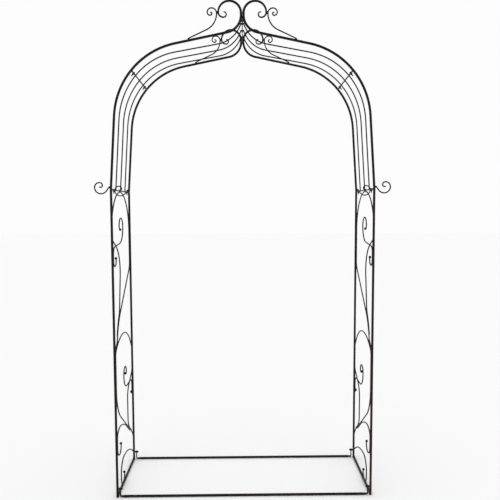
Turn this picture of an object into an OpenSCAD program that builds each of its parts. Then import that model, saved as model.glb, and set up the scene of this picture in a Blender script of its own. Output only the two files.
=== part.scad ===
// Metal garden trellis arch: two side panels and a four-section arched top, bolted together.
// Millimetres. X is across the walkway, Y runs through the arch, Z is up. The origin is on the
// ground, midway between the four posts.

/* [Overall] */
// Spacing of the posts across the walkway, centre to centre
post_spacing = 1280; // [1200:10:1400]

/* [Bars] */
// Width of the flat crossbars
strip_w = 12; // [10:1:14]
// Thickness of the flat crossbars
strip_t = 2.5; // [2:0.5:3]
// Diameter of the forged ball on the end of each panel scroll
ball_d = 14; // [9:0.5:15]

/* [Fasteners] */
// Length of the section bolts under the head
bolt_len = 20; // [16:2:30]
// Distance of each section bolt from the nearest post or rail, centre to centre
bolt_inset = 60; // [45:5:80]
// Height of the tie-rod studs above the ground
stud_z = 44; // [36:1:50]

/* [Hidden] */
// ---- stock ----
bar_d = 12;                     // posts, rails, base bars and tie rods: round bar
rod_d = 6.5;                    // rods, scrolls and hooks: thin round bar
play = 0.05;                    // gap left where two bars only touch
bead = 0.16;                    // a bar is this much thicker where one bend runs into the next
trim = 0.3;                     // each bend stops this far short, inside that bead
steel = [0.10, 0.09, 0.085];
$fn = 48;

// ---- frame ----
half_w = post_spacing / 2;
depth = 430;                    // front post to back post, centre to centre
half_d = depth / 2;
leg_z = 1545;                   // where the arch sections stand on the side panels
strip_len = depth - bar_d;
bolt_y = half_d - bolt_inset;
rod_pitch = depth / 4;

// ---- fasteners ----
thread_d = 6;
clear_d = 6.6;                  // bolt hole in a strip or an eye
hex_across = 10;                // flats of the M6 heads and nuts
head_h = 4;
nut_h = 5;
head_gap = 0.05;
stud_len = 26.5;                // from the post's axis
spacer_x = 7;                   // spacer nut, from the post's axis
eye_x = spacer_x + nut_h + head_gap;
eye_t = 6;
eye_w = 16;
neck_w = 13.6;                  // flattened end of a tie rod below its eye
lock_x = eye_x + eye_t + head_gap;
tie_heel = 1;                   // the corner where a tie rod turns up clears the ground by this

// ---- paths ----
// A path is a list of steps: [length] runs straight and [radius, turn] bends, left for a positive
// turn. A third value on a bend is the bar's diameter from there on.
function ahead(h, s) = len(s) == 1 ? s[0] * cos(h) : sign(s[1]) * s[0] * (sin(h + s[1]) - sin(h));
function aside(h, s) = len(s) == 1 ? s[0] * sin(h) : sign(s[1]) * s[0] * (cos(h) - cos(h + s[1]));
function turned(s) = len(s) == 1 ? 0 : s[1];
function walk(p, steps, i = 0) = i == len(steps) ? p :
    walk([p[0] + ahead(p[2], steps[i]), p[1] + aside(p[2], steps[i]), p[2] + turned(steps[i])],
        steps, i + 1);

// ---- arch profile, from the foot of a rail: x across, z up, heading in degrees ----
stub = 4;                       // upright foot of each rail and rod
ease = 60;                      // bend from the foot into the lean
lean = 3.7;
rise = 349;
rail_r = 372;
mid_h = 130;                    // heading at the joint between the lower and upper sections
top_h = 168.3;                  // heading of the nearly flat run over the top
apex_r = 82;                    // bend up into the big scrolls
rail_steps = [[stub], [ease, lean], [rise - stub], [rail_r, mid_h - 90 - lean]];
foot = [half_w, leg_z, 90];
mid = walk(foot, rail_steps);
apex_x = (bar_d + bead) / 2 + play;
sweep = walk(mid, [[rail_r, top_h - mid_h]]);
flat_run = (sweep[0] - apex_r * (1 - sin(top_h)) - apex_x) / -cos(top_h);
apex = walk(sweep, [[flat_run], [apex_r, 90 - top_h]]);
big_scroll = [[9], [56, -90, 11], [52, -90, 9], [24, -90, 7.5], [14, -90, 6.5], [11, -90, 6]];
upper_steps = concat([[rail_r, top_h - mid_h], [flat_run], [apex_r, 90 - top_h]], big_scroll);

// Thin rods stand between the crossbars' faces; the upper ones are flatter at the shoulder.
function arc_for(length, r) = length / r * 180 / PI;
lower_rod_steps = [[stub], [ease, lean], [rise - stub - strip_t],
    [rail_r, mid_h - 90 - lean - arc_for(strip_t + play, rail_r)]];
rod_r = 335;
rod_top_h = 169.6;
rod_apex_r = 147;
rod_end_h = 107;
rod_start = walk(mid, [[rod_r, arc_for(strip_t + play, rod_r)]]);
rod_sweep = walk(mid, [[rod_r, rod_top_h - mid_h]]);
rod_end_x = strip_t + rod_d / 2 * sin(rod_end_h) + 2 * play;
rod_run = (rod_sweep[0] - rod_apex_r * (sin(rod_end_h) - sin(rod_top_h)) - rod_end_x)
    / -cos(rod_top_h);
upper_rod_steps = [[rod_r, rod_top_h - rod_start[2]], [rod_run],
    [rod_apex_r, rod_end_h - rod_top_h]];
apex_strip_z = walk(rod_start, upper_rod_steps)[1] - strip_w / 2;
apex_strip_len = depth - 2 * sqrt(pow(bar_d / 2, 2) - pow(apex_x - strip_t - play, 2)) - play;

// S-scroll: its tip lies on the rail, and its upright leg touches the big scroll.
s_reach = 252;                  // tip to apex, across
s_lift = (bar_d + rod_d) / 2 + 0.1;
s_tip_z = apex[1] - apex_r * -cos(top_h) - (s_reach - apex_r * (1 - sin(top_h))) * tan(180 - top_h)
    + s_lift / -cos(top_h);
s_steps = [[97.6], [82, -65], [2], [24, -90], [20, -90], [14, -90], [8, -90], [6, -90]];

// Hook outside the foot of each lower rail
hook_from = [half_w + 8.4, leg_z + 13, -54];
hook_steps = [[23.3], [33, 54], [30, 90], [24, 90], [14, 90], [9, 120]];

// ---- side panel scrollwork: p runs back from the front post's axis, z up ----
// Rods lie in two layers either side of the posts' plane, so that they cross without cutting.
layer = rod_d / 2 + play / 2;
near = sqrt(pow((bar_d + rod_d) / 2, 2) - pow(layer, 2)) + 0.15;
far = depth - near;
tall_r = half_d - near;
tall_z = leg_z - strip_t - play - rod_d / 2 - tall_r;

// Straight stretch between two opposite bends that takes a rod from one post to the other
function between(r1, r2, turn) = (far - near - (r1 + r2) * (1 - cos(turn))) / sin(turn);

// Tall arched rod: down its long leg, across to the front post
tall_over = [[tall_r, -180]];
tall_long = [[tall_z - 1155], [55, -50], [310], [250, 35], [25, -40], [75]];
tall_short = [[45, 65], [65], [150, -75], [165], [80, -30], [250, 25]];
// Curl at the top of the panel, and its tail down the front post
curl_z = 1230;
curl_up = [[35, -85], [115], [85, 85], [45, 90], [40, 90], [20, 100]];
curl_down = [[35], [28, 180], [14, 50]];
// Low arched rod: over from the front post to the back post, then its two legs
low_z = 715;
low_rise = [[40, -55], [275, -35], [245, -50]];
low_turn = 60;                  // bend down onto the back post
low_top = walk([near, low_z, 90], low_rise);
low_run = (far - low_turn * (1 - sin(50)) - low_top[0]) / cos(50);
low_over = concat(low_rise, [[low_run], [low_turn, -40]]);
low_long = [[170], [200, 55], [between(200, 150, 55)], [150, -55], [5]];
low_short = [[25], [95, -60], [75], [80, 60], [107], [80, 55], [60]];
// Curl inside the low arch, and its tail on the back post
nest_z = 445;
nest_up = [[40, 90], [95], [70, -90], [10], [35, -90], [30, -90], [15, -150]];
nest_down = [[35], [10, -190]];
// Scrolls at the feet
front_foot_z = 294;
front_foot_up = [[35, -60], [95, -40], [350, -25], [95]];
front_foot_down = [[50], [45, 90], [35, 90], [12, 60]];
back_foot_z = 42;
back_foot = [[40], [400, 37], [70, 95], [20], [40, 150], [18, 90]];

// ---- building blocks ----
// A round bar bent along a path. Each change of bend is closed by a sphere a hair thicker than the
// bar. The far end is rounded if tip is true, and joined leaves room for a sphere at the near end.
module bent_bar(d, steps, tip = true, joined = false, i = 0) {
    if (i < len(steps)) {
        s = steps[i];
        size = len(s) > 2 ? s[2] : d;
        cut = i > 0 || joined ? trim : 0;
        end_cut = i < len(steps) - 1 || tip ? trim : 0;
        if (i > 0) knuckle(max(d, size) + bead);
        if (len(s) == 1) {
            translate([cut, 0, 0]) rotate([0, 90, 0])
                cylinder(d = size, h = s[0] - cut - end_cut);
            translate([s[0], 0, 0]) bent_bar(size, steps, tip, joined, i + 1);
        } else {
            left = s[1] > 0;
            span = abs(s[1]) - arc_for(cut + end_cut, s[0]);
            translate([0, left ? s[0] : -s[0], 0]) {
                rotate([0, 0, left ? arc_for(cut, s[0]) - 90 : 90 - arc_for(cut, s[0]) - span])
                    rotate_extrude(angle = span) translate([s[0], 0]) circle(d = size);
                rotate([0, 0, s[1]]) translate([0, left ? -s[0] : s[0], 0])
                    bent_bar(size, steps, tip, joined, i + 1);
            }
        }
    } else if (tip) knuckle(d + bead);
}

// A sphere with its axis along the path, so that it meets the bar in plain circles
module knuckle(d) {
    rotate([0, 90, 0]) sphere(d = d);
}

// Moves a path to its start, [along, up, heading].
module from_point(p) {
    translate([p[0], p[1], 0]) rotate([0, 0, p[2]]) children();
}

// Drawn for the right-hand side; the left-hand side is the same thing turned half way round.
module on_side(side) {
    rotate([0, 0, side > 0 ? 0 : 180]) children();
}

// Stands a drawing up in the plane of the front or back rails.
module in_arch(side, y) {
    on_side(side) translate([0, side * y, 0]) rotate([90, 0, 0]) children();
}

// Stands a drawing up in a side panel: p from the front post, z up, out is away from the walkway.
module in_panel(side, out) {
    translate([side * (half_w + out), -half_d, 0]) rotate([90, 0, 90]) children();
}

// Hexagon along Z with its flats across the stated width
module hexagon(h) {
    cylinder(d = hex_across / cos(30), h = h, $fn = 6);
}

// Flat bar from front to back with two bolt holes, its thickness from 0 to strip_t along Z
module strip(length) {
    difference() {
        translate([-strip_w / 2, -length / 2, 0]) cube([strip_w, length, strip_t]);
        for (y = [-bolt_y, bolt_y]) translate([0, y, -1]) cylinder(d = clear_d, h = strip_t + 2);
    }
}

// Places a strip or bolt on the joint between the lower and upper sections, Z up the arch.
module at_mid(side) {
    on_side(side) translate([mid[0], 0, mid[1]]) rotate([0, 90 - mid[2], 0]) children();
}

// Places a strip or bolt on the joint at the top, Z away from the middle.
module at_apex(side) {
    on_side(side) translate([play / 2, 0, apex_strip_z]) rotate([0, 90, 0]) children();
}

// ---- side panels ----
module post(side, y) {
    color(steel) translate([side * half_w, y, 0]) {
        cylinder(d = bar_d, h = leg_z);
        translate([0, 0, stud_z]) rotate([0, -side * 90, 0]) cylinder(d = thread_d, h = stud_len);
    }
}

module base_bar(side) {
    color(steel) translate([side * half_w, -strip_len / 2, bar_d / 2]) rotate([-90, 0, 0])
        cylinder(d = bar_d, h = strip_len);
}

module panel_crossbar(side) {
    color(steel) translate([side * half_w, 0, leg_z - strip_t]) strip(strip_len);
}

module upper_arch_rod(side) {
    color(steel) in_panel(side, layer)
        two_way([near, tall_z], concat(tall_over, tall_long), tall_short);
}

module upper_curl(side) {
    color(steel) in_panel(side, -layer) {
        two_way([near, curl_z], curl_up, curl_down);
        ball_end([near, curl_z, 90], curl_up);
        ball_end([near, curl_z, 270], curl_down);
    }
}

module lower_arch_rod(side) {
    color(steel) in_panel(side, -layer)
        two_way([near, low_z], concat(low_over, low_short), low_long);
}

module lower_curl(side) {
    color(steel) in_panel(side, layer) {
        two_way([far, nest_z], nest_up, nest_down);
        ball_end([far, nest_z, 90], nest_up);
        ball_end([far, nest_z, 270], nest_down);
    }
}

module front_foot_scroll(side) {
    color(steel) in_panel(side, -layer) {
        two_way([near, front_foot_z], front_foot_up, front_foot_down);
        ball_end([near, front_foot_z, 270], front_foot_down);
    }
}

module back_foot_scroll(side) {
    color(steel) in_panel(side, -layer) {
        from_point([far, back_foot_z, 143]) bent_bar(rod_d, back_foot);
        ball_end([far, back_foot_z, 143], back_foot);
    }
}

// A rod lying against a post, bent one way above a point and another way below it
module two_way(p, up, down) {
    from_point([p[0], p[1], 90]) bent_bar(rod_d, up, joined = true);
    from_point([p[0], p[1], 270]) bent_bar(rod_d, down, joined = true);
    from_point([p[0], p[1], 90]) knuckle(rod_d + bead);
}

module ball_end(from, steps) {
    from_point(walk(from, steps)) knuckle(ball_d);
}

// ---- arch sections ----
module lower_rail(side, y) {
    color(steel) in_arch(side, y) from_point(foot)
        bent_bar(bar_d, rail_steps, tip = false);
}

module upper_rail(side, y) {
    color(steel) in_arch(side, y) from_point(mid) bent_bar(bar_d, upper_steps);
}

module foot_crossbar(side) {
    color(steel) translate([side * half_w, 0, leg_z]) strip(strip_len);
}

module head_crossbar(side) {
    color(steel) at_mid(side) translate([0, 0, -strip_t]) strip(strip_len);
}

module joint_crossbar(side) {
    color(steel) at_mid(side) strip(strip_len);
}

module apex_crossbar(side) {
    color(steel) at_apex(side) strip(apex_strip_len);
}

module lower_rod(side, y) {
    color(steel) in_arch(side, y)
        from_point([foot[0], leg_z + strip_t, 90]) bent_bar(rod_d, lower_rod_steps, tip = false);
}

module upper_rod(side, y) {
    color(steel) in_arch(side, y) from_point(rod_start)
        bent_bar(rod_d, upper_rod_steps, tip = false);
}

module hook(side, y) {
    color(steel) in_arch(side, y) from_point(hook_from) bent_bar(rod_d, hook_steps);
}

module s_scroll(side, y) {
    color(steel) in_arch(side, y) from_point([s_reach + apex[0], s_tip_z, 155])
        bent_bar(rod_d, s_steps);
}

// ---- ties and fasteners ----
// Round bar whose ends are flattened, turned up square and drilled to hang on the posts' studs
module tie_rod(y) {
    eye_c = half_w - eye_x - eye_t / 2;
    color(steel) translate([0, y, 0]) difference() {
        union() {
            translate([-eye_c, 0, bar_d / 2]) rotate([0, 90, 0]) cylinder(d = bar_d, h = 2 * eye_c);
            for (side = [-1, 1]) translate([side * eye_c - eye_t / 2, 0, 0]) {
                translate([0, -neck_w / 2, tie_heel]) cube([eye_t, neck_w, stud_z - tie_heel]);
                translate([0, 0, stud_z]) rotate([0, 90, 0]) cylinder(d = eye_w, h = eye_t);
            }
        }
        for (side = [-1, 1]) translate([side * eye_c - eye_t, 0, stud_z]) rotate([0, 90, 0])
            cylinder(d = clear_d, h = 2 * eye_t);
    }
}

// M6 hexagon bolt through two strips, its head on the +Z side of the joint
module bolt() {
    translate([0, 0, strip_t + head_gap]) {
        hexagon(head_h);
        translate([0, 0, -bolt_len]) cylinder(d = thread_d, h = bolt_len + head_h / 2);
    }
}

module nut() {
    difference() {
        hexagon(nut_h);
        translate([0, 0, -1]) cylinder(d = thread_d + 0.1, h = nut_h + 2);
    }
}

module section_bolts() {
    color(steel) for (y = [-bolt_y, bolt_y]) {
        for (side = [-1, 1]) {
            translate([side * half_w, y, leg_z]) bolt();
            at_mid(side) translate([0, y, 0]) bolt();
        }
        at_apex(1) translate([0, y, 0]) bolt();
    }
}

module hex_nuts() {
    below = -strip_t - head_gap - nut_h;
    color(steel) {
        for (y = [-bolt_y, bolt_y]) {
            for (side = [-1, 1]) {
                translate([side * half_w, y, leg_z + below]) nut();
                at_mid(side) translate([0, y, below]) nut();
            }
            at_apex(1) translate([0, y, below - play]) nut();
        }
        for (y = [-half_d, half_d], side = [-1, 1], x = [spacer_x, lock_x])
            translate([side * half_w, y, stud_z]) rotate([0, -side * 90, 0])
                translate([0, 0, x]) nut();
    }
}

// ---- parts ----
post(-1, -half_d);  // left_front_post
post(-1, half_d);  // left_back_post
base_bar(-1);  // left_base_bar
panel_crossbar(-1);  // left_panel_crossbar
upper_arch_rod(-1);  // left_upper_arch_rod
upper_curl(-1);  // left_upper_curl
lower_arch_rod(-1);  // left_lower_arch_rod
lower_curl(-1);  // left_lower_curl
front_foot_scroll(-1);  // left_front_foot_scroll
back_foot_scroll(-1);  // left_back_foot_scroll
hook(-1, -half_d);  // left_front_hook
hook(-1, half_d);  // left_back_hook
lower_rail(-1, -half_d);  // left_lower_front_rail
lower_rail(-1, half_d);  // left_lower_back_rail
foot_crossbar(-1);  // left_foot_crossbar
head_crossbar(-1);  // left_head_crossbar
lower_rod(-1, -rod_pitch);  // left_lower_front_rod
lower_rod(-1, 0);  // left_lower_middle_rod
lower_rod(-1, rod_pitch);  // left_lower_back_rod
upper_rail(-1, -half_d);  // left_upper_front_rail
upper_rail(-1, half_d);  // left_upper_back_rail
joint_crossbar(-1);  // left_joint_crossbar
apex_crossbar(-1);  // left_apex_crossbar
upper_rod(-1, -rod_pitch);  // left_upper_front_rod
upper_rod(-1, 0);  // left_upper_middle_rod
upper_rod(-1, rod_pitch);  // left_upper_back_rod
s_scroll(-1, -half_d);  // left_front_s_scroll
s_scroll(-1, half_d);  // left_back_s_scroll
post(1, -half_d);  // right_front_post
post(1, half_d);  // right_back_post
base_bar(1);  // right_base_bar
panel_crossbar(1);  // right_panel_crossbar
upper_arch_rod(1);  // right_upper_arch_rod
upper_curl(1);  // right_upper_curl
lower_arch_rod(1);  // right_lower_arch_rod
lower_curl(1);  // right_lower_curl
front_foot_scroll(1);  // right_front_foot_scroll
back_foot_scroll(1);  // right_back_foot_scroll
hook(1, -half_d);  // right_front_hook
hook(1, half_d);  // right_back_hook
lower_rail(1, -half_d);  // right_lower_front_rail
lower_rail(1, half_d);  // right_lower_back_rail
foot_crossbar(1);  // right_foot_crossbar
head_crossbar(1);  // right_head_crossbar
lower_rod(1, -rod_pitch);  // right_lower_front_rod
lower_rod(1, 0);  // right_lower_middle_rod
lower_rod(1, rod_pitch);  // right_lower_back_rod
upper_rail(1, -half_d);  // right_upper_front_rail
upper_rail(1, half_d);  // right_upper_back_rail
joint_crossbar(1);  // right_joint_crossbar
apex_crossbar(1);  // right_apex_crossbar
upper_rod(1, -rod_pitch);  // right_upper_front_rod
upper_rod(1, 0);  // right_upper_middle_rod
upper_rod(1, rod_pitch);  // right_upper_back_rod
s_scroll(1, -half_d);  // right_front_s_scroll
s_scroll(1, half_d);  // right_back_s_scroll
tie_rod(-half_d);  // front_tie_rod
tie_rod(half_d);  // back_tie_rod
section_bolts();
hex_nuts();
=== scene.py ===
"""Metal garden trellis arch: bent round steel bar, painted satin black-brown, bolted together."""
import math
import random

import bmesh
import bpy
from mathutils import Matrix, Vector, noise


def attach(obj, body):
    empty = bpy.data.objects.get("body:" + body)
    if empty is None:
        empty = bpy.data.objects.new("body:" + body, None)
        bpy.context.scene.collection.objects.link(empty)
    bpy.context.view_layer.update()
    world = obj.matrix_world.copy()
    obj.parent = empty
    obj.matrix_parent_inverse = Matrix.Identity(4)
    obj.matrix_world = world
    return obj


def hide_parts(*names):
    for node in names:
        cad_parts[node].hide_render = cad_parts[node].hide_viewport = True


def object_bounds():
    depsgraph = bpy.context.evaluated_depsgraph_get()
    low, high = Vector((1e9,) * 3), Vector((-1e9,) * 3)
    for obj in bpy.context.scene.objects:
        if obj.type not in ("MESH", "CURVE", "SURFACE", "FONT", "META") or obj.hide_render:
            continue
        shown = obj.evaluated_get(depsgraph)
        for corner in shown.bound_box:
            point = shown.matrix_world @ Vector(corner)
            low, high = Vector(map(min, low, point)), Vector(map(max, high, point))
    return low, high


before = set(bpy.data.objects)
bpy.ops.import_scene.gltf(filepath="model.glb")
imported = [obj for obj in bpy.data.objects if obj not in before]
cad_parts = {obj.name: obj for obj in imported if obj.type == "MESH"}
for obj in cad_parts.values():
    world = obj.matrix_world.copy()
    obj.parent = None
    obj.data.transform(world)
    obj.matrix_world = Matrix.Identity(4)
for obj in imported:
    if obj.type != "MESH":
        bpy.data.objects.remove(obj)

CAD_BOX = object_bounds()
LOW = Vector(CAD_BOX[0]) * 1000
HIGH = Vector(CAD_BOX[1]) * 1000
random.seed(11)

# ---- sizes in millimetres, as in the CAD model ----
BAR, ROD = 12.0, 6.5
PLAY, BEAD = 0.05, 0.16
HALF_W, HALF_D, LEG_Z = 640.0, 215.0, 1545.0
STRIP_W, STRIP_T = 12.0, 2.5
BOLT_Y, ROD_PITCH = 155.0, 107.5
THREAD, CLEAR, HEX = 6.0, 6.6, 10.0
HEAD_H, NUT_H, GAP, BOLT_LEN = 4.0, 5.0, 0.05, 20.0
STUD_Z, STUD_LEN, SPACER_X = 44.0, 26.5, 7.0
EYE_T, EYE_W = 6.0, 16.0
EYE_X = SPACER_X + NUT_H + GAP
LOCK_X = EYE_X + EYE_T + GAP
BALL = 14.0
THREAD_PITCH, THREAD_DEPTH = 1.0, 0.34

# ---- how finely things are drawn ----
SIDES = 20                      # round a bar
STRAIGHT_STEP = 30.0            # longest gap between points on a straight
FINE_STEP = 2.0                 # the same, where contacts are looked for

XX, YY, ZZ = (1, 0, 0), (0, 1, 0), (0, 0, 1)
SIDE_WORDS = ((-1, "left"), (1, "right"))
END_PLACES = ((-HALF_D, "front"), (HALF_D, "back"))


def sin(degrees):
    return math.sin(math.radians(degrees))


def cos(degrees):
    return math.cos(math.radians(degrees))


def arc_for(length, radius):
    """Degrees that a length takes up on a bend."""
    return math.degrees(length / radius)


# ---- paths: [length] runs straight, [radius, turn] bends, left for a positive turn ----
# A third value on a bend is the diameter that the bar tapers to by its end.
def step_end(p, s):
    """The point [along, up, heading] at the end of one step."""
    a, b, h = p
    if len(s) == 1:
        return a + s[0] * cos(h), b + s[0] * sin(h), h
    k = math.copysign(s[0], s[1])
    return a + k * (sin(h + s[1]) - sin(h)), b + k * (cos(h) - cos(h + s[1])), h + s[1]


def walk(p, steps):
    """The point at the end of a path."""
    for s in steps:
        p = step_end(p, s)
    return p


def sample(p, steps, d, turn=4.0):
    """Points [along, up, heading, diameter] down a path, at most turn degrees apart on a bend."""
    out = [[*p, d]]
    for s in steps:
        goal = s[2] if len(s) > 2 else d
        n = max(1, math.ceil(s[0] / STRAIGHT_STEP if len(s) == 1 else abs(s[1]) / turn))
        for i in range(1, n + 1):
            part = [s[0] * i / n] if len(s) == 1 else [s[0], s[1] * i / n]
            out.append([*step_end(p, part), d + (goal - d) * i / n])
        p, d = step_end(p, s), goal
    return out


def both_ways(p, up, down):
    """One bar through p: its lower end first, its upper end last."""
    lower = sample((p[0], p[1], 270.0), down, ROD)
    back = [[a, b, h + 180.0, d] for a, b, h, d in reversed(lower)]
    return back + sample((p[0], p[1], 90.0), up, ROD)[1:]


# ---- meshes ----
class Shape:
    """Collects vertices in millimetres and faces."""

    def __init__(self):
        self.v, self.f = [], []

    def rings(self, rings, closed=False):
        """Skin between rings of points. closed joins the last ring to the first, with no caps."""
        n, base = len(rings[0]), len(self.v)
        for ring in rings:
            self.v.extend(Vector(q) for q in ring)
        count = len(rings)
        for i in range(count if closed else count - 1):
            a, b = base + i * n, base + (i + 1) % count * n
            for j in range(n):
                k = (j + 1) % n
                self.f.append((a + j, a + k, b + k, b + j))
        if not closed:
            self.f.append(tuple(range(base + n - 1, base - 1, -1)))
            self.f.append(tuple(range(base + (count - 1) * n, base + count * n)))

    def bar(self, pts, place, across, ends=("cut", "cut"), flat=None):
        """A round bar down sampled points. place puts (along, up) in space, across is the
        direction square to the path's plane, flat gives (in-plane, across) factors at a point."""
        across = Vector(across)
        run = [0.0]
        for p, q in zip(pts, pts[1:]):
            run.append(run[-1] + math.hypot(q[0] - p[0], q[1] - p[1]))
        rows = [(p[0], p[1], p[2], p[3] / 2, s) for p, s in zip(pts, run)]
        for end, first in ((ends[0], True), (ends[1], False)):
            a, b, h, r, s = rows[0] if first else rows[-1]
            way = -1 if first else 1
            if end == "cut":
                a -= way * 0.7 * cos(h)
                b -= way * 0.7 * sin(h)
                shell = [(0.0, r), (0.35, r - 0.12), (0.7, r - 0.5)]
            elif end == "dome":
                shell = [(r * sin(t), max(r * cos(t), 0.3)) for t in (0, 20, 40, 60, 75, 86)]
            else:
                ball = BALL / 2
                shell = [(-1.75 * ball, r), (-1.35 * ball, r + 0.1), (-1.08 * ball, r + 0.6)]
                shell += [(ball * -cos(t), ball * sin(t) * 0.98)
                          for t in (38, 50, 65, 80, 95, 110, 125, 140, 155, 166, 175)]
            cleared = BALL if end == "ball" else 1.2
            rows = [q for q in rows if abs(q[4] - s) > cleared]
            if end == "ball":
                extra = bent_on(pts if not first else flipped(pts), shell)
                extra = [(e[0], e[1], e[2] + (180 if first else 0), e[3], s) for e in extra]
            else:
                extra = [(a + way * t * cos(h), b + way * t * sin(h), h, rr, s)
                         for t, rr in shell]
            rows = extra[::-1] + rows if first else rows + extra
        made = []
        for a, b, h, r, s in rows:
            c = Vector(place(a, b))
            u = Vector(place(a - sin(h), b + cos(h))) - c
            ku, kw = flat(s, run[-1]) if flat else (1.0, 1.0)
            made.append([c + u * (r * ku * cos(t)) + across * (r * kw * sin(t))
                         for t in (360.0 * j / SIDES for j in range(SIDES))])
        self.rings(made)

    def thread(self, at, axis, length, r):
        """Screw thread from a point along an axis."""
        u, w, n = basis(axis)
        at, rows, sides = Vector(at), [], 24
        steps = int(length / THREAD_PITCH * 5)
        for i in range(steps + 1):
            t = length * i / steps
            ring = []
            for j in range(sides):
                phase = (t / THREAD_PITCH - j / sides) % 1.0
                cut = THREAD_DEPTH * (1 - abs(2 * phase - 1) * 1.15) if phase else 0
                rr = r - max(0.0, cut)
                rr = min(rr, r - 0.7 + min(t, length - t) * 1.0 + 0.05)
                ring.append(at + n * t + u * rr * cos(360 * j / sides) + w * rr * sin(360 * j / sides))
            rows.append(ring)
        self.rings(rows)

    def hexagon(self, at, axis, h, bore=0.0, under=True):
        """Hexagon with turned corners; a bore makes it a nut."""
        u, w, n = basis(axis)
        at, sides = Vector(at), 48

        def ring(z, limit=None, r=None):
            out = []
            for j in range(sides):
                t = 360.0 * j / sides
                side = HEX / 2 / cos((t % 60) - 30)
                rr = r if r is not None else min(side, limit)
                out.append(at + n * z + u * rr * cos(t) + w * rr * sin(t))
            return out

        # (depth below a face, limit on the radius): turned corners, or a plain underside
        slope = ((0.0, 4.72), (0.2, 5.1), (0.42, 5.5), (0.7, 9.0))
        low = slope if under else ((0.0, 9.0), (0.3, 9.0))
        rows = [ring(z, limit) for z, limit in low]
        rows += [ring(h - z, limit) for z, limit in reversed(slope)]
        if bore:
            rows.append(ring(h, r=bore + 0.45))
            rows.append(ring(h - 0.45, r=bore))
            rows.append(ring(0.45, r=bore))
            rows.append(ring(0.0, r=bore + 0.45))
            self.rings(rows, closed=True)
        else:
            rows.append(ring(h - 0.15, r=3.9))
            rows.append(ring(h - 0.28, r=3.0))
            self.rings(rows)

    def weld(self, at, axis, length, r):
        """A short bead of weld, rippled along its length."""
        u, w, n = basis(axis)
        at, seed = Vector(at), random.random() * 50
        rows = []
        for i in range(13):
            t = i / 12 * 2 - 1
            env = math.sqrt(max(0.0, 1 - abs(t) ** 2.6))
            ripple = 1 + 0.10 * math.sin(i * 2.1 + seed)
            ring = []
            for j in range(14):
                a = 360 * j / 14
                q = n * (t * length / 2) + (u * cos(a) + w * sin(a)) * r * env * ripple
                q = q * (1 + 0.12 * noise.noise(q * 0.45 + Vector((seed, 0, 0))))
                ring.append(held_in(at + q))
            rows.append(ring)
        self.rings(rows)

    def weld_ring(self, at, axis, around, r):
        """A fillet of weld round the end of a bar."""
        u, w, n = basis(axis)
        at, seed, rows = Vector(at), random.random() * 50, []
        for i in range(36):
            t = 10.0 * i
            out = u * cos(t) + w * sin(t)
            lump = noise.noise(out * 2 + Vector((seed, 0, 0)))
            rr = r * (1 + 0.14 * math.sin(i * 1.75 + seed) + 0.15 * lump)
            rows.append([held_in(at + out * around + (out * cos(a) + n * sin(a)) * rr)
                         for a in range(0, 360, 36)])
        self.rings(rows, closed=True)

    def piece(self, name, slot, nodes=(), mat=None, sharp=35.0, bevel=0.0):
        """Makes the object. nodes are the CAD nodes that it stands in for."""
        mesh = bpy.data.meshes.new(name)
        mesh.from_pydata([q / 1000 for q in self.v], [], self.f)
        bm = bmesh.new()
        bm.from_mesh(mesh)
        bmesh.ops.recalc_face_normals(bm, faces=bm.faces)
        for face in bm.faces:
            face.smooth = True
        for edge in bm.edges:
            if len(edge.link_faces) == 2 and edge.calc_face_angle(0) > math.radians(sharp):
                edge.smooth = False
        bm.to_mesh(mesh)
        bm.free()
        obj = bpy.data.objects.new(name, mesh)
        bpy.context.scene.collection.objects.link(obj)
        mesh.materials.append(mat or MATERIALS[slot])
        if bevel:
            mod = obj.modifiers.new("eased_edges", "BEVEL")
            mod.width, mod.segments, mod.limit_method = bevel / 1000, 2, "ANGLE"
        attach(obj, "root")
        if nodes:
            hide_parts(*nodes)


def flipped(pts):
    """The same path from its other end."""
    return [[a, b, h + 180.0, d] for a, b, h, d in reversed(pts)]


def bent_on(pts, shell):
    """Rings near the last point of a path, following its bend back from the tip."""
    tip, out = pts[-1], []
    for t, r in shell:
        if t >= 0:
            out.append((tip[0] + t * cos(tip[2]), tip[1] + t * sin(tip[2]), tip[2], r))
            continue
        left, q = -t, len(pts) - 1
        while q > 0:
            a, b = pts[q], pts[q - 1]
            gap = math.hypot(a[0] - b[0], a[1] - b[1])
            if gap >= left:
                k = left / gap
                out.append(tuple(a[i] + (b[i] - a[i]) * k for i in range(3)) + (r,))
                break
            left -= gap
            q -= 1
    return out


def basis(axis):
    """Two directions square to an axis, and the axis itself."""
    n = Vector(axis).normalized()
    u = n.orthogonal().normalized()
    return u, n.cross(u), n


def held_in(q):
    """Keeps a point inside the CAD model's box."""
    return Vector(min(max(q[i], LOW[i] + 0.05), HIGH[i] - 0.05) for i in range(3))


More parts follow.
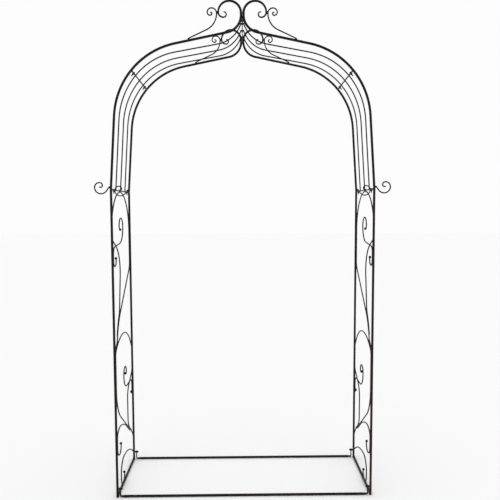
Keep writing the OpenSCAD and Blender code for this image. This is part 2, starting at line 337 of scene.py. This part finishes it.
# ---- materials ----
def enamel(name, dark, brown, rust, rough, seed, hammer):
    """Satin outdoor enamel over steel: cloudy colour, orange peel, forge marks, rust freckles.
    hammer is how strong the forge marks are; seed moves the pattern."""
    mat = bpy.data.materials.new(name)
    mat.use_nodes = True
    nt = mat.node_tree
    nodes, link = nt.nodes, nt.links.new
    shader = nodes["Principled BSDF"]
    coord = nodes.new("ShaderNodeTexCoord")
    place = nodes.new("ShaderNodeMapping")
    place.inputs["Location"].default_value = (seed, seed * 0.37, seed * 0.71)
    link(coord.outputs["Object"], place.inputs["Vector"])

    def cloud(scale, detail, roughness=0.55):
        tex = nodes.new("ShaderNodeTexNoise")
        tex.inputs["Scale"].default_value = scale
        tex.inputs["Detail"].default_value = detail
        tex.inputs["Roughness"].default_value = roughness
        link(place.outputs["Vector"], tex.inputs["Vector"])
        return tex.outputs["Fac"]

    def ramp(source, stops):
        node = nodes.new("ShaderNodeValToRGB")
        link(source, node.inputs["Fac"])
        marks = node.color_ramp.elements
        while len(marks) < len(stops):
            marks.new(0.5)
        for mark, (pos, colour) in zip(marks, stops):
            mark.position = pos
            mark.color = (*colour, 1)
        return node.outputs["Color"]

    def mix(fac, a, colour):
        node = nodes.new("ShaderNodeMix")
        node.data_type = "RGBA"
        link(fac, node.inputs[0])
        link(a, node.inputs[6])
        node.inputs[7].default_value = (*colour, 1)
        return node.outputs[2]

    def grey(g):
        return g, g, g

    between_tones = tuple(0.5 * (x + y) for x, y in zip(dark, brown))
    base = ramp(cloud(7.0, 5), [(0.34, dark), (0.52, between_tones), (0.70, brown)])
    speck = ramp(cloud(420.0, 3), [(0.40, grey(0.78)), (0.62, grey(1.18))])
    tone = nodes.new("ShaderNodeMix")
    tone.data_type, tone.blend_type = "RGBA", "MULTIPLY"
    tone.inputs[0].default_value = 1.0
    link(base, tone.inputs[6])
    link(speck, tone.inputs[7])
    patch = ramp(cloud(16.0, 4), [(0.50, grey(0)), (0.64, grey(1))])
    freckle = ramp(cloud(210.0, 6, 0.7), [(0.55, grey(0)), (0.63, grey(1))])
    # damp gathers near the ground, so the paint is more often broken there
    height = nodes.new("ShaderNodeSeparateXYZ")
    link(coord.outputs["Object"], height.inputs[0])
    damp = nodes.new("ShaderNodeMapRange")
    link(height.outputs["Z"], damp.inputs["Value"])
    damp.inputs["From Min"].default_value = 0.0
    damp.inputs["From Max"].default_value = 0.35
    damp.inputs["To Min"].default_value = 0.55
    damp.inputs["To Max"].default_value = 0.0
    where = nodes.new("ShaderNodeMath")
    where.operation, where.use_clamp = "ADD", True
    link(patch, where.inputs[0])
    link(damp.outputs[0], where.inputs[1])
    spots = nodes.new("ShaderNodeMath")
    spots.operation = "MULTIPLY"
    link(where.outputs[0], spots.inputs[0])
    link(freckle, spots.inputs[1])
    link(mix(spots.outputs[0], tone.outputs[2], rust), shader.inputs["Base Color"])

    gloss = nodes.new("ShaderNodeMapRange")
    gloss.inputs["To Min"].default_value = rough - 0.13
    gloss.inputs["To Max"].default_value = rough + 0.17
    link(cloud(55.0, 5, 0.65), gloss.inputs["Value"])
    dull = nodes.new("ShaderNodeMath")
    dull.operation = "MULTIPLY_ADD"
    link(spots.outputs[0], dull.inputs[0])
    dull.inputs[1].default_value = 0.32
    link(gloss.outputs[0], dull.inputs[2])
    link(dull.outputs[0], shader.inputs["Roughness"])

    # forge marks, orange peel, grain, and the raised edges of the rust (scale 0)
    bumps = ((42.0, 2, hammer, 0.0016), (300.0, 3, 0.45, 0.00040),
             (1300.0, 2, 0.40, 0.00012), (0, 0, 0.55, 0.00030))
    last = None
    for scale, detail, strength, distance in bumps:
        bump = nodes.new("ShaderNodeBump")
        bump.inputs["Strength"].default_value = strength
        bump.inputs["Distance"].default_value = distance
        link(cloud(scale, detail) if scale else spots.outputs[0], bump.inputs["Height"])
        if last:
            link(last.outputs["Normal"], bump.inputs["Normal"])
        last = bump
    link(last.outputs["Normal"], shader.inputs["Normal"])
    shader.inputs["Metallic"].default_value = 0.0
    shader.inputs["IOR"].default_value = 1.45
    shader.inputs["Specular IOR Level"].default_value = 0.18
    return mat


MATERIALS = {
    "heavy_bar": enamel("heavy_bar_enamel", (0.0022, 0.0017, 0.0016), (0.0105, 0.0058, 0.0044),
                        (0.038, 0.0150, 0.0080), 0.46, 1.0, 0.45),
    "thin_rod": enamel("thin_rod_enamel", (0.0020, 0.0016, 0.0015), (0.0085, 0.0052, 0.0042),
                       (0.034, 0.0140, 0.0075), 0.48, 5.0, 0.55),
    "flat_strip": enamel("flat_strip_enamel", (0.0021, 0.0017, 0.0015), (0.0090, 0.0054, 0.0043),
                         (0.036, 0.0150, 0.0080), 0.50, 9.0, 0.35),
    "fastener": enamel("fastener_steel", (0.0042, 0.0040, 0.0040), (0.0130, 0.0110, 0.0100),
                       (0.050, 0.0240, 0.0130), 0.42, 13.0, 0.15),
}
WELD = enamel("weld_enamel", (0.0019, 0.0015, 0.0014), (0.0080, 0.0050, 0.0040),
              (0.036, 0.0150, 0.0080), 0.52, 17.0, 0.7)
# the right front post is painted lighter and browner than the rest: a painted highlight standing for
# the light that falls on it
PAINTED_HIGHLIGHT_ENAMEL = enamel("painted_highlight_bar_enamel", (0.0090, 0.0042, 0.0028), (0.0250, 0.0112, 0.0078),
              (0.062, 0.0240, 0.0120), 0.52, 21.0, 0.6)

# ---- arch profile, from the foot of a rail ----
# STUB is the upright foot, EASE the bend into the lean, LEAN its degrees, and RISE the straight
# length with the foot. A name in _R is a bend's radius and one in _H a heading in degrees.
STUB, EASE, LEAN, RISE = 4, 60, 3.7, 349
RAIL_R, MID_H, TOP_H, APEX_R = 372, 130, 168.3, 82
ROD_R, ROD_TOP_H, ROD_APEX_R, ROD_END_H = 335, 169.6, 147, 107
rail_steps = [[STUB], [EASE, LEAN], [RISE - STUB], [RAIL_R, MID_H - 90 - LEAN]]
foot = (HALF_W, LEG_Z, 90.0)
mid = walk(foot, rail_steps)
apex_x = (BAR + BEAD) / 2 + PLAY
sweep = walk(mid, [[RAIL_R, TOP_H - mid[2]]])
flat_run = (sweep[0] - APEX_R * (1 - sin(TOP_H)) - apex_x) / -cos(TOP_H)
to_apex = [[RAIL_R, TOP_H - mid[2]], [flat_run], [APEX_R, 90 - TOP_H]]
apex = walk(mid, to_apex)
big_scroll = [[9], [56, -90, 11], [52, -90, 9], [24, -90, 7.5], [14, -90, 6.5], [11, -90, 6]]

# Thin rods stand between the crossbars' faces; the upper ones are flatter at the shoulder.
lower_rod_steps = [[STUB], [EASE, LEAN], [RISE - STUB - STRIP_T],
                   [RAIL_R, MID_H - 90 - LEAN - arc_for(STRIP_T + PLAY, RAIL_R)]]
rod_start = walk(mid, [[ROD_R, arc_for(STRIP_T + PLAY, ROD_R)]])
rod_sweep = walk(mid, [[ROD_R, ROD_TOP_H - mid[2]]])
rod_end_x = STRIP_T + ROD / 2 * sin(ROD_END_H) + 2 * PLAY
rod_run = (rod_sweep[0] - ROD_APEX_R * (sin(ROD_END_H) - sin(ROD_TOP_H)) - rod_end_x) / -cos(ROD_TOP_H)
upper_rod_steps = [[ROD_R, ROD_TOP_H - rod_start[2]], [rod_run], [ROD_APEX_R, ROD_END_H - ROD_TOP_H]]
apex_strip_z = walk(rod_start, upper_rod_steps)[1] - STRIP_W / 2
apex_chord = math.sqrt((BAR / 2) ** 2 - (apex_x - STRIP_T - PLAY) ** 2)
apex_strip_len = 2 * HALF_D - 2 * apex_chord - PLAY

# S-scroll: its tip lies on the rail, S_REACH out from the rail's apex.
S_REACH, S_HEADING = 252, 155
s_drop = (S_REACH - APEX_R * (1 - sin(TOP_H))) * math.tan(math.radians(180 - TOP_H))
s_lift = ((BAR + ROD) / 2 + 0.1) / -cos(TOP_H)
s_tip_z = apex[1] + APEX_R * cos(TOP_H) - s_drop + s_lift
s_steps = [[97.6], [82, -65], [2], [24, -90], [20, -90], [14, -90], [8, -90], [6, -90]]
hook_from = (HALF_W + 8.4, LEG_Z + 13, -54)
hook_steps = [[23.3], [33, 54], [30, 90], [24, 90], [14, 90], [9, 120]]

# ---- side panel scrollwork: along runs back from the front post's axis ----
# Rods lie in two layers either side of the posts' plane, so that they cross without cutting.
LAYER = ROD / 2 + PLAY / 2
NEAR = math.sqrt(((BAR + ROD) / 2) ** 2 - LAYER ** 2) + 0.15
FAR = 2 * HALF_D - NEAR
TALL_R = HALF_D - NEAR
TALL_Z = LEG_Z - STRIP_T - PLAY - ROD / 2 - TALL_R


def between(r1, r2, turn):
    """Straight stretch between two opposite bends that crosses from post to post."""
    return (FAR - NEAR - (r1 + r2) * (1 - cos(turn))) / sin(turn)


LOW_Z, LOW_TURN, LOW_SLOPE = 715, 60, 50
low_rise = [[40, -55], [275, -35], [245, -50]]
low_top = walk((NEAR, LOW_Z, 90), low_rise)
low_run = (FAR - LOW_TURN * (1 - sin(LOW_SLOPE)) - low_top[0]) / cos(LOW_SLOPE)
back_foot = [[40], [400, 37], [70, 95], [20], [40, 150], [18, 90]]

# name: (layer, sampled path, ends)
PANEL = {
    "upper_arch_rod": (1, both_ways(
        (NEAR, TALL_Z),
        [[TALL_R, -180], [TALL_Z - 1155], [55, -50], [310], [250, 35], [25, -40], [75]],
        [[45, 65], [65], [150, -75], [165], [80, -30], [250, 25]]), ("dome", "dome")),
    "upper_curl": (-1, both_ways(
        (NEAR, 1230), [[35, -85], [115], [85, 85], [45, 90], [40, 90], [20, 100]],
        [[35], [28, 180], [14, 50]]), ("ball", "ball")),
    "lower_arch_rod": (-1, both_ways(
        (NEAR, LOW_Z),
        [*low_rise, [low_run], [LOW_TURN, -40],
         [25], [95, -60], [75], [80, 60], [107], [80, 55], [60]],
        [[170], [200, 55], [between(200, 150, 55)], [150, -55], [5]]), ("dome", "dome")),
    "lower_curl": (1, both_ways(
        (FAR, 445), [[40, 90], [95], [70, -90], [10], [35, -90], [30, -90], [15, -150]],
        [[35], [10, -190]]), ("ball", "ball")),
    "front_foot_scroll": (-1, both_ways(
        (NEAR, 294), [[35, -60], [95, -40], [350, -25], [95]],
        [[50], [45, 90], [35, 90], [12, 60]]), ("ball", "dome")),
    "back_foot_scroll": (-1, sample((FAR, 42, 143), back_foot, ROD), ("dome", "ball")),
}


# ---- bent bars ----
def in_arch(side, y):
    """Stands a path up square to the walkway, at depth y."""
    return lambda a, b: (side * a, y, b)


def in_panel(side, out):
    """Stands a path up in a side panel."""
    return lambda a, b: (side * (HALF_W + out), a - HALF_D, b)


def one_bar(node, slot, pts, place, across, ends=("cut", "cut"), flat=None):
    shape = Shape()
    shape.bar(pts, place, across, ends, flat)
    shape.piece(node + "_steel", slot, [node])


def s_flat(s, total):
    """The foot of the S is hammered out where it lies on the rail."""
    k = max(0.0, 1 - s / 34)
    return 1 - 0.18 * k, 1 + 0.28 * k


def contacts(one, two, reach):
    """Middle points and headings where two paths come within reach of each other."""
    found, run = [], None
    for a in one:
        d, b = min((math.hypot(a[0] - q[0], a[1] - q[1]), q[:3]) for q in two)
        if d < reach:
            if run is None or d < run[0]:
                run = (d, (a[0] + b[0]) / 2, (a[1] + b[1]) / 2, a[2])
        elif run:
            found.append(run[1:])
            run = None
    if run:
        found.append(run[1:])
    return found


def finer(pts):
    """The same path with points at most FINE_STEP apart."""
    out = []
    for p, q in zip(pts, pts[1:]):
        n = max(1, math.ceil(math.hypot(q[0] - p[0], q[1] - p[1]) / FINE_STEP))
        out += [[p[i] + (q[i] - p[i]) * k / n for i in range(4)] for k in range(n)]
    return out + [pts[-1]]


def move(x, y, z):
    return Matrix.Translation((x, y, z))


def turned_to(side):
    """The left-hand side is the right-hand one turned half way round."""
    return Matrix.Identity(4) if side > 0 else Matrix.Rotation(math.pi, 4, "Z")


def at_mid(side):
    """The joint between the lower and upper sections, Z up the arch."""
    tilt = Matrix.Rotation(math.radians(90 - mid[2]), 4, "Y")
    return turned_to(side) @ move(mid[0], 0, mid[1]) @ tilt


def at_apex(side):
    """The joint at the top, Z away from the middle."""
    return turned_to(side) @ move(PLAY / 2, 0, apex_strip_z) @ Matrix.Rotation(math.pi / 2, 4, "Y")


# Welds sit a little inside a rail, as shares of its distance from the middle.
STRIP_WELD, BASE_WELD, APEX_WELD = 0.969, 0.970, 0.975


def strip_welds(arch, panel, side, y):
    """Fillets where the crossbars' ends meet a post and its rails, off the faces that bolt up."""
    end, off = y * STRIP_WELD, STRIP_T + 0.5
    arch.weld((side * HALF_W, end, LEG_Z + off), XX, STRIP_W, 2.1)
    panel.weld((side * HALF_W, end, LEG_Z - off), XX, STRIP_W, 2.1)
    joint = at_mid(side)
    for level in (-off, off):
        arch.weld(joint @ Vector((0, end, level)), joint.to_3x3() @ Vector(XX), STRIP_W, 2.1)
    arch.weld((side * (off + 0.4), y * APEX_WELD, apex_strip_z), ZZ, STRIP_W, 2.0)


def post(side, word, y, end):
    """A round upright with the tie rod's threaded stud on its inner face."""
    shape = Shape()
    shape.bar([[side * HALF_W, z, 90, BAR] for z in range(0, int(LEG_Z) + 1, 15)],
              lambda a, b: (a, y, b), YY)
    shape.thread((side * HALF_W, y, STUD_Z), (-side, 0, 0), STUD_LEN, THREAD / 2)
    # the right front post gets the painted highlight enamel, lighter and browner than the other posts
    paint = PAINTED_HIGHLIGHT_ENAMEL if (word, end) == ("right", "front") else None
    shape.piece(f"{word}_{end}_post_steel", "heavy_bar", [f"{word}_{end}_post"], mat=paint)


def post_and_rails(side, word, y, end, panel_welds, arch_welds):
    """A post with the rails, S-scroll and hook above it, and the welds on them."""
    rail = sample(foot, rail_steps, BAR)
    top = sample(mid, to_apex + big_scroll, BAR)
    s_bar = sample((S_REACH + apex[0], s_tip_z, S_HEADING), s_steps, ROD)
    hook_bar = sample(hook_from, hook_steps, ROD)
    touch = (BAR + ROD) / 2
    post(side, word, y, end)
    place = in_arch(side, y)
    one_bar(f"{word}_lower_{end}_rail", "heavy_bar", rail, place, YY)
    one_bar(f"{word}_upper_{end}_rail", "heavy_bar", top, place, YY, ("cut", "dome"))
    one_bar(f"{word}_{end}_s_scroll", "thin_rod", s_bar, place, YY, ("dome", "dome"), s_flat)
    one_bar(f"{word}_{end}_hook", "thin_rod", hook_bar, place, YY, ("dome", "dome"))
    for one, two, reach in ((s_bar, top, touch + 0.9), (hook_bar, rail, touch + 1.2)):
        for a, b, h in contacts(finer(one), finer(two), reach):
            arch_welds.weld(place(a, b), (side * cos(h), 0, sin(h)), 15, 3.1)
    strip_welds(arch_welds, panel_welds, side, y)
    panel_welds.weld_ring((side * HALF_W, y * BASE_WELD, BAR / 2), YY, BAR / 2 - 0.3, 1.7)
    panel_welds.weld_ring((side * (HALF_W - BAR / 2), y, STUD_Z), XX, THREAD / 2, 1.0)


def base_bar(side, word):
    """The bar on the ground between a side's posts."""
    half = int(HALF_D - BAR / 2)
    shape = Shape()
    shape.bar([[y, BAR / 2, 0, BAR] for y in range(-half, half + 1, 19)],
              lambda a, b: (side * HALF_W, a, b), XX)
    shape.piece(f"{word}_base_bar_steel", "heavy_bar", [f"{word}_base_bar"])


def thin_rods(side, word, y, end, arch_welds):
    """A lower and an upper rod in line, welded between the crossbars."""
    place = in_arch(side, y)
    low = sample((foot[0], LEG_Z + STRIP_T, 90), lower_rod_steps, ROD)
    high = sample(rod_start, upper_rod_steps, ROD)
    one_bar(f"{word}_lower_{end}_rod", "thin_rod", low, place, YY)
    one_bar(f"{word}_upper_{end}_rod", "thin_rod", high, place, YY)
    for q in (low[0], low[-1], high[0]):
        arch_welds.weld_ring(place(q[0], q[1]), (side * cos(q[2]), 0, sin(q[2])), ROD / 2, 1.1)
    arch_welds.weld((side * (STRIP_T + 0.4), y, high[-1][1] - 5), ZZ, 11, 2.3)


def scrollwork(side, word, panel_welds):
    """The bent rods of a side panel, welded where they meet a post or each other."""
    paths = {}
    for name, (out, pts, ends) in PANEL.items():
        one_bar(f"{word}_{name}", "thin_rod", pts, in_panel(side, out * LAYER), XX, ends)
        paths[name] = (out, finer(pts))
    posts = [[[p, z, 90, 0] for z in range(0, int(LEG_Z), 2)] for p in (0, 2 * HALF_D)]
    for out, pts in paths.values():
        for line in posts:
            for a, b, h in contacts(pts, line, NEAR + 0.35):
                panel_welds.weld((side * (HALF_W + out * LAYER / 2), a - HALF_D, b), ZZ, 17, 3.0)
    names = list(paths)
    for i, one in enumerate(names):
        for two in names[i + 1:]:
            (out1, p1), (out2, p2) = paths[one], paths[two]
            reach = ROD + 0.9 if out1 == out2 else 2.2
            for a, b, h in contacts(p1, p2, reach):
                x = HALF_W + (out1 * LAYER if out1 == out2 else 0)
                panel_welds.weld((side * x, a - HALF_D, b), (0, cos(h), sin(h)), 9, 2.9)


for side, word in SIDE_WORDS:
    panel_welds, arch_welds = Shape(), Shape()
    for y, end in END_PLACES:
        post_and_rails(side, word, y, end, panel_welds, arch_welds)
    base_bar(side, word)
    for y, end in ((-ROD_PITCH, "front"), (0.0, "middle"), (ROD_PITCH, "back")):
        thin_rods(side, word, y, end, arch_welds)
    scrollwork(side, word, panel_welds)
    panel_welds.piece(f"{word}_panel_welds", "thin_rod", mat=WELD)
    arch_welds.piece(f"{word}_arch_welds", "thin_rod", mat=WELD)


# ---- flat strips ----
def strip_piece(node, length, place):
    """Flat bar with two bolt holes. place is a matrix in millimetres."""
    half, w, seg, shape = length / 2, STRIP_W / 2, 24, Shape()
    bm = bmesh.new()

    def vert(x, y):
        return bm.verts.new((x, y, 0))

    edges = {}
    for y0 in (-BOLT_Y, BOLT_Y):
        hole = [vert(CLEAR / 2 * cos(15 * j), y0 + CLEAR / 2 * sin(15 * j)) for j in range(seg)]
        rim = []
        for j in range(seg):
            k = w / max(abs(cos(15 * j)), abs(sin(15 * j)))
            rim.append(vert(k * cos(15 * j), y0 + k * sin(15 * j)))
        for j in range(seg):
            bm.faces.new((hole[j], hole[(j + 1) % seg], rim[(j + 1) % seg], rim[j]))
        edges[y0] = (rim[15:22], rim[3:10])
    low = [vert(-w, -half), vert(w, -half)]
    high = [vert(w, half), vert(-w, half)]
    bm.faces.new(low + edges[-BOLT_Y][0][::-1])
    bm.faces.new(edges[-BOLT_Y][1][::-1] + edges[BOLT_Y][0][::-1])
    bm.faces.new(edges[BOLT_Y][1] + high[::-1])
    made = bmesh.ops.extrude_face_region(bm, geom=bm.faces[:])
    for v in [g for g in made["geom"] if isinstance(g, bmesh.types.BMVert)]:
        v.co.z = STRIP_T
    bmesh.ops.remove_doubles(bm, verts=bm.verts, dist=0.001)
    bm.verts.index_update()
    shape.v = [place @ v.co for v in bm.verts]
    shape.f = [tuple(v.index for v in f.verts) for f in bm.faces]
    bm.free()
    shape.piece(node + "_steel", "flat_strip", [node], sharp=30, bevel=0.3)


SPAN = 2 * HALF_D - BAR
for side, word in SIDE_WORDS:
    strip_piece(f"{word}_panel_crossbar", SPAN, move(side * HALF_W, 0, LEG_Z - STRIP_T))
    strip_piece(f"{word}_foot_crossbar", SPAN, move(side * HALF_W, 0, LEG_Z))
    strip_piece(f"{word}_head_crossbar", SPAN, at_mid(side) @ move(0, 0, -STRIP_T))
    strip_piece(f"{word}_joint_crossbar", SPAN, at_mid(side))
    strip_piece(f"{word}_apex_crossbar", apex_strip_len, at_apex(side))


# ---- tie rods ----
CORNER = 5.0                    # centreline radius of a tie rod's turned-up corner
LEG_TOP = 37.5                  # where the flattened leg runs into its eye
LEG = LEG_TOP - BAR / 2 - CORNER


def tie_flat(s, total):
    """Round in the run, beaten flat round the corner and up the leg to each eye."""
    k = min(1.0, max(0.0, (LEG + 28 - min(s, total - s)) / 24))
    k = k * k * (3 - 2 * k)
    return 1 - 0.5 * k, 1 + 0.15 * k


def eye_rings(centre):
    """Rounded-off eye with its bore, turned about X."""
    hole, rim, t = CLEAR / 2, EYE_W / 2, EYE_T / 2
    half = [(rim, t - 1.4), (rim - .35, t - .5), (rim - 1.2, t), (hole + .4, t), (hole, t - .4)]
    section = [(r, -x) for r, x in reversed(half)] + half
    rows = []
    for i in range(40):
        out = Vector((0, cos(9 * i), sin(9 * i)))
        rows.append([centre + out * r + Vector((x, 0, 0)) for r, x in section])
    return rows


def tie_rod(y, end):
    eye_c = HALF_W - EYE_X - EYE_T / 2
    near_corner = [[3], [3], [3], [3], [4], [5], [5], [6]]
    middle = [2 * (eye_c - CORNER - sum(q[0] for q in near_corner))]
    steps = [[LEG], [CORNER, 90], *near_corner, middle, *near_corner[::-1], [CORNER, 90], [LEG]]
    shape = Shape()
    shape.bar(sample((-eye_c, LEG_TOP, 270), steps, BAR, turn=10.0),
              lambda a, b: (a, y, b), YY, flat=tie_flat)
    for side in (-1, 1):
        shape.rings(eye_rings(Vector((side * eye_c, y, STUD_Z))), closed=True)
    shape.piece(f"{end}_tie_rod_steel", "heavy_bar", [f"{end}_tie_rod"])


for y, end in END_PLACES:
    tie_rod(y, end)

# ---- bolts and nuts ----
NUT_BORE = THREAD / 2 + 0.05    # radius
bolts, nuts = Shape(), Shape()


def fasten(place, extra=0.0):
    """Bolt head above the joint, nut below it."""
    up = (place.to_3x3() @ Vector(ZZ)).normalized()
    head = place @ Vector((0, 0, STRIP_T + GAP))
    nut = place @ Vector((0, 0, -STRIP_T - GAP - NUT_H - extra))
    bolts.hexagon(head, up, HEAD_H, under=False)
    bolts.thread(head, -up, BOLT_LEN, THREAD / 2)
    nuts.hexagon(nut, up, NUT_H, NUT_BORE)


for y in (-BOLT_Y, BOLT_Y):
    for side in (-1, 1):
        fasten(move(side * HALF_W, y, LEG_Z))
        fasten(at_mid(side) @ move(0, y, 0))
    fasten(at_apex(1) @ move(0, y, 0), PLAY)
for y, _ in END_PLACES:
    for side in (-1, 1):
        for x in (SPACER_X, LOCK_X):
            nuts.hexagon((side * (HALF_W - x), y, STUD_Z), (-side, 0, 0), NUT_H, NUT_BORE)
bolts.piece("section_bolts_steel", "fastener", ["section_bolts"], sharp=25)
nuts.piece("hex_nuts_steel", "fastener", ["hex_nuts"], sharp=25)

# ---- camera, in metres and radians ----
YAW, PITCH, ROLL = 0.0139, 0.0733, -0.0036
EYE = (-0.0049, -2.9277, 1.4481)
LENS, SENSOR = 39.96, 36.0


def add(obj):
    bpy.context.scene.collection.objects.link(obj)
    return obj


def camera():
    """Looks along +Y, turned by YAW to the right and PITCH down, then rolled."""
    level = math.cos(PITCH)
    ahead = Vector((math.sin(YAW) * level, math.cos(YAW) * level, -math.sin(PITCH)))
    right = Vector((math.cos(YAW), -math.sin(YAW), 0))
    up = right.cross(ahead)
    x_axis = right * math.cos(ROLL) + up * math.sin(ROLL)
    y_axis = up * math.cos(ROLL) - right * math.sin(ROLL)
    obj = add(bpy.data.objects.new("camera", bpy.data.cameras.new("camera")))
    obj.data.lens, obj.data.sensor_width = LENS, SENSOR
    turn = Matrix((x_axis, y_axis, -ahead)).transposed()
    obj.matrix_world = Matrix.Translation(EYE) @ turn.to_4x4()
    bpy.context.scene.camera = obj


# ---- floor and light ----
def ground():
    """A plain pale floor, a hair below the feet."""
    bm = bmesh.new()
    bmesh.ops.create_grid(bm, x_segments=8, y_segments=8, size=30)
    mesh = bpy.data.meshes.new("floor")
    bm.to_mesh(mesh)
    bm.free()
    floor = add(bpy.data.objects.new("floor", mesh))
    floor.location.z = -0.0004
    pale = bpy.data.materials.new("pale_floor")
    pale.use_nodes = True
    shader = pale.node_tree.nodes["Principled BSDF"]
    shader.inputs["Base Color"].default_value = (0.90, 0.90, 0.90, 1)
    shader.inputs["Roughness"].default_value = 0.9
    mesh.materials.append(pale)


def light():
    """An even white surround and two broad, weak lamps."""
    world = bpy.data.worlds.new("studio")
    bpy.context.scene.world = world
    world.use_nodes = True
    surround = world.node_tree.nodes["Background"].inputs
    surround[0].default_value = (1, 1, 1, 1)
    surround[1].default_value = 0.98
    for where, energy, spread in (((-2.0, -3.0, 5.0), 0.22, 50), ((3.0, -1.0, 4.0), 0.12, 60)):
        lamp = bpy.data.lights.new("softbox", "SUN")
        lamp.energy, lamp.angle = energy, math.radians(spread)
        box = add(bpy.data.objects.new("softbox", lamp))
        box.location = where
        box.rotation_euler = (-Vector(where)).to_track_quat("-Z", "Y").to_euler()
    bpy.context.scene.view_settings.view_transform = "Standard"


camera()
ground()
light()
